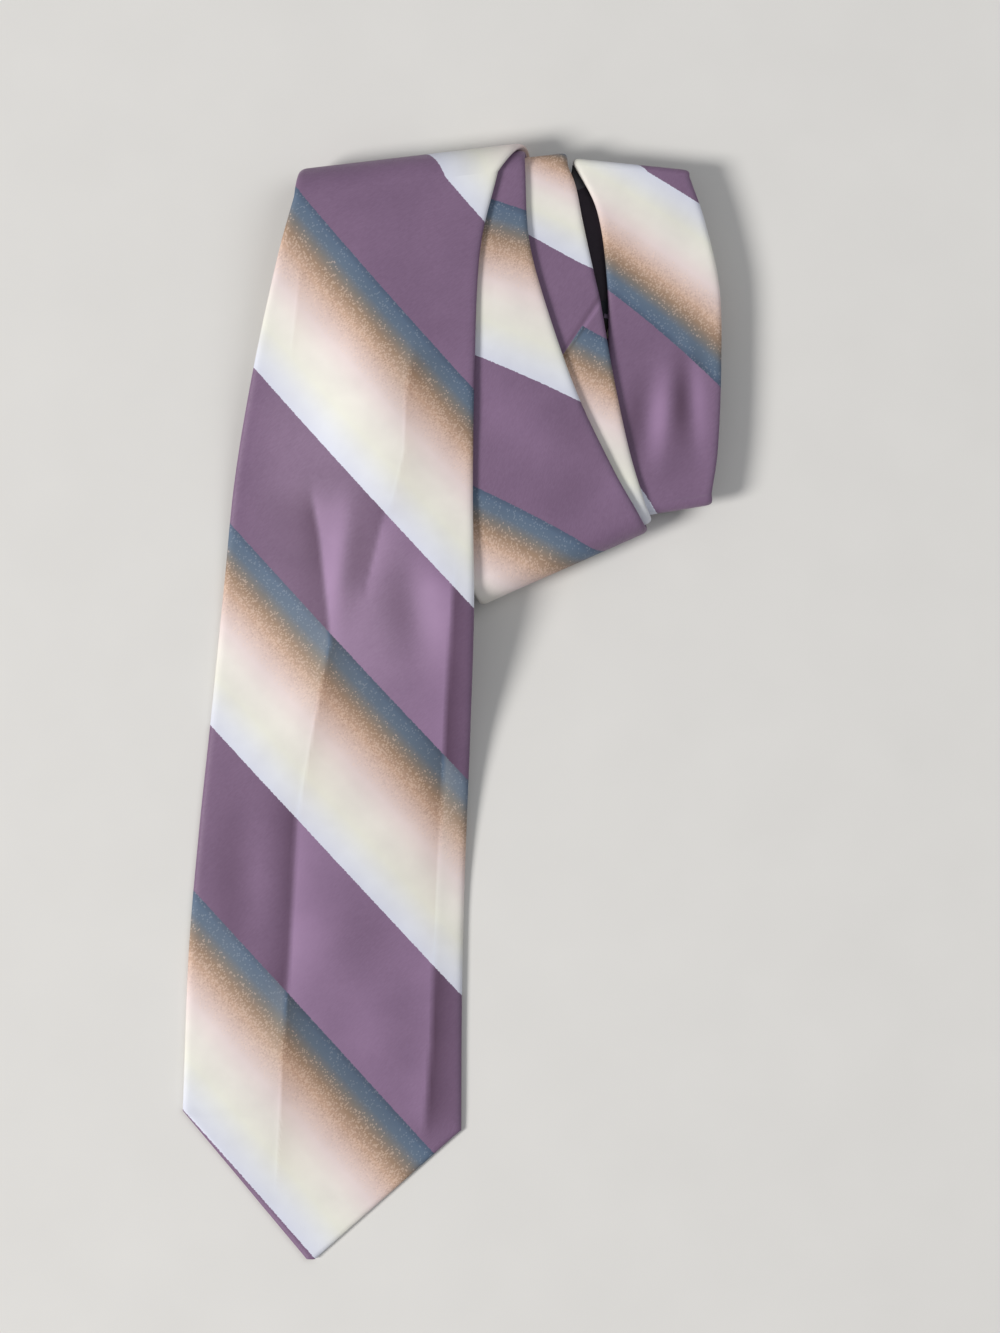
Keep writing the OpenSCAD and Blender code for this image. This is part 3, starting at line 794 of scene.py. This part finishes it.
def wool_canvas():
    """Cream interlining: plain weave with brushed fibres and darker slubs."""
    f = Finish("wool_interlining")
    warp, weft = f.cloth_threads()
    waves = 2 * math.pi / CANVAS_REPEAT_M
    weave = (warp * waves).math("SINE") * (weft * waves).math("SINE")
    fibre = f.noise(f.joined(warp, weft * 0.3), 2600.0, 4.0, 0.7)
    slub = f.speck(warp / CANVAS_REPEAT_M, weft / 0.007)
    base = f.colour_mix(fibre, linear(214, 204, 182), linear(240, 233, 216))
    base = f.colour_mix((slub > 0.9) * 0.4, base, linear(176, 160, 134))
    normal = f.bump(weave * 0.6 + fibre, 0.00015, 0.7)
    return f.surface(f.cloth(base, 0.82 + fibre * 0.1, normal, 0.5, linear(246, 240, 226), 0.2))


def lining_satin():
    """Plum tipping satin with long floats."""
    f = Finish("lining_satin")
    warp, weft = f.cloth_threads()
    streak = f.noise(f.joined(warp * 0.06, weft), 2200.0, 3.0, 0.6)
    cross = f.speck(warp / 0.0011, weft / 0.0003)
    base = f.colour_mix(streak, linear(96, 76, 106), linear(138, 114, 148))
    base = f.colour_mix((cross > 0.86) * 0.3, base, linear(74, 56, 84))
    normal = f.bump(streak, 0.00008, 0.5)
    return f.surface(f.cloth(base, 0.5 + streak * 0.12, normal, 0.05, linear(180, 160, 190), 0.25))


def label_satin():
    """Blank off-white label tape with fine ribs."""
    f = Finish("label_tape")
    warp, weft = f.cloth_threads()
    rib = ((warp - weft) * (2 * math.pi / LABEL_REPEAT_M)).math("SINE")
    fibre = f.noise(f.joined(warp, weft), 1800.0, 3.0)
    base = f.colour_mix(fibre * 0.6 + rib * 0.1 + 0.1, linear(222, 216, 204), linear(242, 239, 231))
    normal = f.bump(rib * 0.5 + fibre * 0.5, 0.00008, 0.5)
    return f.surface(f.cloth(base, 0.5 + fibre * 0.1, normal, 0.2, linear(250, 248, 242), 0.4))


def sewing_thread():
    """Lilac twisted thread."""
    f = Finish("sewing_thread")
    spot = f.node("ShaderNodeTexCoord", {}, {}, 3)
    fibre = f.noise(spot, 5200.0, 3.0, 0.6)
    base = f.colour_mix(fibre, linear(128, 106, 138), linear(176, 156, 184))
    normal = f.bump(fibre, 0.00008, 0.6)
    return f.surface(f.cloth(base, 0.5 + fibre * 0.15, normal, 0.3, linear(232, 222, 238), 0.4))


def pale_floor():
    """Plain pale floor."""
    f = Finish("pale_floor")
    spot = f.node("ShaderNodeTexCoord", {}, {}, 3)
    mottle = f.noise(spot, 30.0, 3.0)
    base = f.colour_mix(mottle, linear(214, 212, 208), linear(220, 218, 214))
    return f.surface(f.node("ShaderNodeBsdfPrincipled", {}, {"Base Color": base, "Roughness": 0.85}))


SILK = striped_silk()
CANVAS = wool_canvas()
LINING = lining_satin()
LABEL = label_satin()
THREAD = sewing_thread()


# ---------------------------------------------------------------- camera, light and floor
CAMERA_M = (0.0167, 0.0125, 1.2)
VIEW_HEIGHT_M = 0.455


def add_camera():
    lens = bpy.data.cameras.new("camera")
    lens.sensor_width = 36
    lens.lens = 36 * CAMERA_M[2] / VIEW_HEIGHT_M
    camera = bpy.data.objects.new("camera", lens)
    camera.location = CAMERA_M
    bpy.context.scene.collection.objects.link(camera)
    bpy.context.scene.camera = camera
    bpy.context.scene.view_settings.view_transform = "Standard"


def add_light(name, place, target, size, watts, colour=(1, 1, 1)):
    lamp = bpy.data.lights.new(name, "AREA")
    lamp.shape = "DISK"
    lamp.size = size
    lamp.energy = watts
    lamp.color = colour
    light = bpy.data.objects.new(name, lamp)
    light.location = place
    light.rotation_euler = (Vector(place) - Vector(target)).to_track_quat("Z", "Y").to_euler()
    bpy.context.scene.collection.objects.link(light)


def add_floor():
    mesh = bpy.data.meshes.new("floor")
    reach = 4.0
    corners = [(-reach, -reach, 0), (reach, -reach, 0), (reach, reach, 0), (-reach, reach, 0)]
    mesh.from_pydata(corners, [], [(0, 1, 2, 3)])
    add_piece("floor", mesh, pale_floor())


def add_world():
    world = bpy.data.worlds.new("studio")
    world.use_nodes = True
    world.node_tree.nodes["Background"].inputs[0].default_value = (0.93, 0.95, 1.0, 1)
    world.node_tree.nodes["Background"].inputs[1].default_value = 0.3
    bpy.context.scene.world = world


add_camera()
add_world()
add_floor()
add_light("key", (-3.3, -1.0, 2.7), (0, 0, 0), 1.4, 183, (1.0, 0.985, 0.965))
add_light("fill", (2.4, 1.2, 3.0), (0, 0, 0), 2.8, 36, (0.96, 0.98, 1.0))


# ---------------------------------------------------------------- stitches
def thread_tree(name, sizes):
    """A Geometry Nodes tree with these sizes and a thread as inputs, and a maker for its nodes."""
    tree = bpy.data.node_groups.new(name, "GeometryNodeTree")
    face = tree.interface
    face.new_socket("Geometry", in_out="INPUT", socket_type="NodeSocketGeometry")
    for label, value in sizes:
        face.new_socket(label, in_out="INPUT", socket_type="NodeSocketFloat").default_value = value
    face.new_socket("Thread", in_out="INPUT", socket_type="NodeSocketMaterial")
    face.new_socket("Geometry", in_out="OUTPUT", socket_type="NodeSocketGeometry")

    def node(kind, settings=None, links=None):
        made = tree.nodes.new(kind)
        for key, value in (settings or {}).items():
            setattr(made, key, value)
        for key, source in (links or {}).items():
            if isinstance(source, bpy.types.NodeSocket):
                tree.links.new(source, made.inputs[key])
            else:
                made.inputs[key].default_value = source
        return made
    return tree, node


def stitch_tree():
    """Geometry Nodes: a path of edges becomes a row of short thread stitches along it."""
    sizes = (("Spacing", 0.003), ("Length", 0.0022), ("Thickness", 0.0004))
    tree, node = thread_tree("stitch_row", sizes)
    given = node("NodeGroupInput").outputs
    path = node("GeometryNodeMeshToCurve", {}, {0: given["Geometry"]})
    steps = node("GeometryNodeResampleCurve", {"mode": "LENGTH"},
                 {"Curve": path.outputs[0], "Length": given["Spacing"]})
    bead = node("GeometryNodeMeshUVSphere", {}, {"Segments": 8, "Rings": 6, "Radius": 0.5})
    thick = given["Thickness"]
    size = node("ShaderNodeCombineXYZ", {}, {0: thick, 1: thick, 2: given["Length"]})
    tangent = node("GeometryNodeInputTangent")
    turn = node("FunctionNodeAlignRotationToVector", {"axis": "Z"}, {"Vector": tangent.outputs[0]})
    placed = node("GeometryNodeInstanceOnPoints", {}, {
        "Points": steps.outputs[0], "Instance": bead.outputs[0], "Rotation": turn.outputs[0],
        "Scale": size.outputs[0]})
    real = node("GeometryNodeRealizeInstances", {}, {0: placed.outputs[0]})
    soft = node("GeometryNodeSetShadeSmooth", {}, {"Geometry": real.outputs[0]})
    dressed = node("GeometryNodeSetMaterial", {}, {"Geometry": soft.outputs[0], "Material": given["Thread"]})
    node("NodeGroupOutput", {}, {0: dressed.outputs[0]})
    return tree


def strand_tree():
    """Geometry Nodes: a path of edges becomes one round thread."""
    tree, node = thread_tree("strand", [("Thickness", 0.0003)])
    given = node("NodeGroupInput").outputs
    path = node("GeometryNodeMeshToCurve", {}, {0: given["Geometry"]})
    radius = node("ShaderNodeMath", {"operation": "MULTIPLY"}, {0: given["Thickness"], 1: 0.5})
    ring = node("GeometryNodeCurvePrimitiveCircle", {}, {"Resolution": 8, "Radius": radius.outputs[0]})
    tube = node("GeometryNodeCurveToMesh", {}, {
        "Curve": path.outputs[0], "Profile Curve": ring.outputs[0], "Fill Caps": True})
    real = node("GeometryNodeRealizeInstances", {}, {0: tube.outputs[0]})
    dressed = node("GeometryNodeSetMaterial", {}, {"Geometry": real.outputs[0], "Material": given["Thread"]})
    node("NodeGroupOutput", {}, {0: dressed.outputs[0]})
    return tree


STITCHES = stitch_tree()
STRAND = strand_tree()


def sewn(name, tree, paths, **sizes):
    """One mesh of thread along the paths, each a list of points in millimetres."""
    points, edges = [], []
    for path in paths:
        edges += [(len(points) + i, len(points) + i + 1) for i in range(len(path) - 1)]
        points += (np.array(path) * MM).tolist()
    mesh = bpy.data.meshes.new(name + "_path")
    mesh.from_pydata(points, edges, [])
    carrier = bpy.data.objects.new(name + "_path", mesh)
    bpy.context.scene.collection.objects.link(carrier)
    modifier = carrier.modifiers.new("thread", "NODES")
    modifier.node_group = tree
    for item in tree.interface.items_tree:
        if item.in_out == "INPUT" and item.name in sizes:
            modifier[item.identifier] = sizes[item.name] * MM
        elif item.in_out == "INPUT" and item.name == "Thread":
            modifier[item.identifier] = THREAD
    done = carrier.evaluated_get(bpy.context.evaluated_depsgraph_get())
    plain = bpy.data.meshes.new_from_object(done)
    plain.name = name
    bpy.data.objects.remove(carrier)
    return add_piece(name, plain, THREAD)


def line_at(cuts, x, w):
    """Path along the cuts at given places across and one depth."""
    x = np.broadcast_to(np.asarray(x, float), len(cuts))[:, None]
    return cuts.points(x, w)[:, 0]


def rows_at(cuts, s):
    """Cuts at the places s, which may repeat or go back, on a short flat run of cuts."""
    return Cuts(through(cuts.rows, s), np.tile(cuts.normal[0], (len(s), 1)), np.zeros((len(s), 2)))


# ---------------------------------------------------------------- pieces of the front blade
def blade_stretch(first, last, count=9):
    """Cuts on the blade between two distances from its point.

    The rows of BLADE lie about row_step apart, and the first is first_row from the point.
    """
    first_row, row_step = 47, 44.5
    s = (np.linspace(first, last, count) - first_row) / row_step
    return Cuts(through(BLADE, s), np.tile([0.0, 0.0, 1.0], (count, 1)), np.zeros((count, 2)))


def dress(piece, body, node):
    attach(piece, body)
    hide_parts(node)


def area_of(cuts, widths):
    """Area in square metres of a strip that has these widths at the cuts."""
    return float(((widths[1:] + widths[:-1]) / 2 * np.diff(cuts.run())).sum()) * MM * MM


def folded_sheet(cuts, half):
    width = 2 * float(half.max()) * MM
    length = float(cuts.run()[-1]) * MM
    area = min(area_of(cuts, 2 * half), width * length)


def canvas_half(cuts):
    return cuts.width() / 2 - HALF_T - CLOTH_T - 0.35


BLADE_COLUMNS = 40
# Cuts of the blade, counted from its point: where the canvas and the tipping start, where the tipping
# and the hems end, and where the slip stitches start
CANVAS_CUT, TIPPING_CUT, TIPPING_END = 6, 7, 100
HEM_CUT, HEM_END, SLIP_CUT = 16, 90, 98
SLIP_SIZES = {"Spacing": 6, "Length": 4.2, "Thickness": 0.44}


def hem_paths(cuts, opening):
    """The two lines of stitches beside an opening, that hold a tipping to the turned-in cloth."""
    return [line_at(cuts, side * (opening + 0.3), -HALF_T + 0.2) for side in (-1, 1)]


def front_blade():
    cloth = shell("front_blade_cloth", blade_cuts, front_opening(blade_cuts), BLADE_COLUMNS, BLADE_RELIEF)
    dress(cloth, "blade", "front_blade_shell")
    folded_sheet(blade_cuts, blade_cuts.width())

    lined = blade_cuts.part(CANVAS_CUT, len(blade_cuts))
    canvas = band("front_blade_canvas", lined, canvas_half(lined), CANVAS_DEPTHS, CANVAS,
                  BLADE_COLUMNS, BLADE_RELIEF)
    dress(canvas, "blade", "front_blade_interlining")
    folded_sheet(lined, canvas_half(lined))

    behind = blade_cuts.part(TIPPING_CUT, TIPPING_END)
    half = np.minimum(front_opening(behind) + 4, behind.width() / 2 - TIPPING_INSET)
    tipping = band("front_tipping_cloth", behind, half, TIPPING_DEPTHS, LINING, BLADE_COLUMNS, BLADE_RELIEF)
    dress(tipping, "blade", "front_tipping")
    folded_sheet(behind, half)

    edge = blade_cuts.part(HEM_CUT, HEM_END)
    hems = sewn("front_hem_stitches", STITCHES, hem_paths(edge, front_opening(edge)),
                Spacing=3.2, Length=2.2, Thickness=0.42)
    dress(hems, "blade", "front_tipping_stitches")

    tack = blade_stretch(FRONT_TACK, FRONT_TACK + 1.6)
    bar = sewn("front_bar_tack_thread", STRAND, bar_paths(tack, 5, -HALF_T - 0.24), Thickness=0.34)
    dress(bar, "blade", "front_bar_tack")

    closed = blade_cuts.part(SLIP_CUT, len(blade_cuts))
    slip = sewn("blade_slip_stitches", STITCHES, [line_at(closed, 0, -HALF_T + 0.25)], **SLIP_SIZES)
    dress(slip, "blade", "blade_slip_stitch")


def bar_paths(cuts, half, w, rows=5, zigzag=0.42):
    """Bar tack: threads laid side by side across the seam and one that wraps them in a close zigzag."""
    laid = []
    count = 13
    for s in np.linspace(0.15, 0.85, rows):
        one = rows_at(cuts, np.full(count, s * (len(cuts) - 1)))
        laid.append(line_at(one, np.linspace(-half, half, count) * 0.98, w))
    count = int(half * 2 / zigzag) // 2 * 2 + 1
    side = np.where(np.arange(count) % 2, 1.0, 0.0)
    many = rows_at(cuts, side * (len(cuts) - 1))
    laid.append(line_at(many, np.linspace(-half, half, count) * 0.94, w - 0.07))
    return laid


def keeper_loop():
    """Narrow band of the tie's own silk across the back, held by a short bar tack at each end."""
    cuts = blade_stretch(LOOP_FROM, LOOP_FROM + LOOP_H, 13)
    x = np.broadcast_to(np.linspace(LOOP_W / 2, -LOOP_W / 2, 65), (13, 65))
    drop = -HALF_T - 0.03 - LOOP_ROOM * smooth((LOOP_W / 2 - np.abs(x)) / 5)
    hem = np.linspace(-1, 1, 13)[:, None]
    folded = LOOP_T * (1 - 0.35 * hem**6)
    cuts.phase[:] = 0.66
    skins = [cuts.place(x, drop), cuts.place(x, drop - folded)]
    loop = closed_sheet("keeper_loop_cloth", *skins, SILK)
    dress(loop, "blade", "keeper_loop")

    ends = blade_stretch(LOOP_FROM + 1, LOOP_FROM + LOOP_H - 1)
    count = 25
    many = rows_at(ends, np.linspace(0, len(ends) - 1, count))
    wide = np.where(np.arange(count) % 2, LOOP_W / 2 - 0.15, LOOP_W / 2 - 1.15)
    tacks = sewn("loop_tack_threads", STRAND,
                 [line_at(many, side * wide, -HALF_T - LOOP_T - 0.3) for side in (-1, 1)], Thickness=0.34)
    dress(tacks, "blade", "loop_tacks")


def care_label():
    """Blank woven tape, its upper edge next to the bar tack."""
    cuts = blade_stretch(FRONT_TACK - 1 - LABEL_H, FRONT_TACK - 1, 21)
    half = LABEL_W / 2
    x = np.broadcast_to(np.linspace(half, -half, 49), (21, 49))
    curl = 0.12 * (np.abs(x) / half) ** 4 + 0.1 * np.linspace(1, 0, 21)[:, None] ** 2
    skins = [cuts.place(x, -HALF_T - 0.06 - curl), cuts.place(x, -HALF_T - 0.26 - curl)]
    label = closed_sheet("care_label_tape", *skins, LABEL)
    dress(label, "blade", "care_label")


def top_fold():
    cloth = shell("top_fold_cloth", fold_cuts, seam_of(fold_cuts), 30)
    canvas = band("top_fold_canvas", fold_cuts, canvas_half(fold_cuts), CANVAS_DEPTHS, CANVAS, 16)
    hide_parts("top_fold_shell")
    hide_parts("top_fold_interlining")
    for piece in (cloth, canvas):
        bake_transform(piece)
    folded_sheet(fold_cuts, fold_cuts.width())
    folded_sheet(fold_cuts, canvas_half(fold_cuts))


def roll():
    tail_gap = np.concatenate([seam_of(tail_start)[:-1], tail_opening(tail_end_cuts)])
    parts = (
        ("wrap_cloth", "wrap_shell", wrap_cuts, seam_of(wrap_cuts), 26, wrap_relief, ["floor"]),
        ("neck_cloth", "neck_shell", neck_cuts, seam_of(neck_cuts), 22, neck_relief, ["wrap_cloth"]),
        ("tail_cloth", "tail_shell", tail_cuts, tail_gap, 24, tail_relief, ["neck_cloth", "wrap_cloth"]),
    )
    for name, node, cuts, opening, columns, relief, under in parts:
        cloth = shell(name, cuts, opening, columns, relief)
        dress(cloth, "roll", node)
        folded_sheet(cuts, cuts.width())

    lining_end = len(neck_cuts) - 6
    linings = (
        ("wrap_canvas", "wrap_interlining", together(wrap_cuts, neck_cuts.part(0, lining_end)), "wrap_cloth"),
        ("tail_canvas", "tail_interlining", together(neck_cuts.part(lining_end + 1, len(neck_cuts)),
                                                     tail_cuts.part(0, len(tail_cuts) - 4)), "tail_cloth"),
    )
    for name, node, cuts, inside in linings:
        canvas = band(name, cuts, canvas_half(cuts), ROLL_CANVAS_DEPTHS, CANVAS, 16)
        dress(canvas, "roll", node)
        folded_sheet(cuts, canvas_half(cuts))

    meet = neck_cuts.part(lining_end - 1, lining_end + 2)
    count = 41
    many = rows_at(meet, np.where(np.arange(count) % 2, 1.7, 0.3))
    reach = float(canvas_half(meet).min()) - 1
    join = sewn("canvas_join_stitches", STRAND, [line_at(many, np.linspace(-reach, reach, count), -0.25)],
                Thickness=0.3)
    dress(join, "roll", "interlining_join")


def crossing_seam(name, node, cuts):
    """Stitches just inside a seam that crosses the tie."""
    count = 40
    many = rows_at(cuts, np.full(count, 0.6))
    reach = float(cuts.width()[0]) / 2 - 3
    seam = sewn(name, STITCHES, [line_at(many, np.linspace(-reach, reach, count), -0.4)],
                Spacing=2.4, Length=1.8, Thickness=0.34)
    dress(seam, "roll", node)


def roll_sewing():
    crossing_seam("front_neck_seam_stitches", "front_neck_seam", neck_cuts)
    crossing_seam("neck_tail_seam_stitches", "neck_tail_seam", tail_cuts)
    closed_tail = tail_cuts.part(0, len(tail_start) + 12)
    runs = [line_at(cuts, 0, -HALF_T + 0.25) for cuts in (wrap_cuts, neck_cuts, closed_tail)]
    slip = sewn("roll_slip_stitches", STITCHES, runs, **SLIP_SIZES)
    dress(slip, "roll", "coil_slip_stitch")

    behind = tail_end_cuts.part(14, len(tail_end_cuts) - 3)
    half = np.minimum(tail_opening(behind) + 3, behind.width() / 2 - TIPPING_INSET)
    tipping = band("tail_tipping_cloth", behind, half, TIPPING_DEPTHS, LINING, 12)
    dress(tipping, "roll", "tail_tipping")
    folded_sheet(behind, half)

    edge = tail_end_cuts.part(18, len(tail_end_cuts) - 4)
    hems = sewn("tail_hem_stitches", STITCHES, hem_paths(edge, tail_opening(edge)),
                Spacing=3, Length=2, Thickness=0.4)
    dress(hems, "roll", "tail_tipping_stitches")
    middle = len(leg_8) // 2
    tack = Cuts(through(leg_8.rows, np.linspace(middle, middle + 0.4, 5)), leg_8.normal[:5], leg_8.phase[:5])
    bar = sewn("tail_bar_tack_thread", STRAND, bar_paths(tack, 3, -HALF_T - 0.12), Thickness=0.2)
    dress(bar, "roll", "tail_bar_tack")


front_blade()
keeper_loop()
care_label()
top_fold()
roll()
roll_sewing()
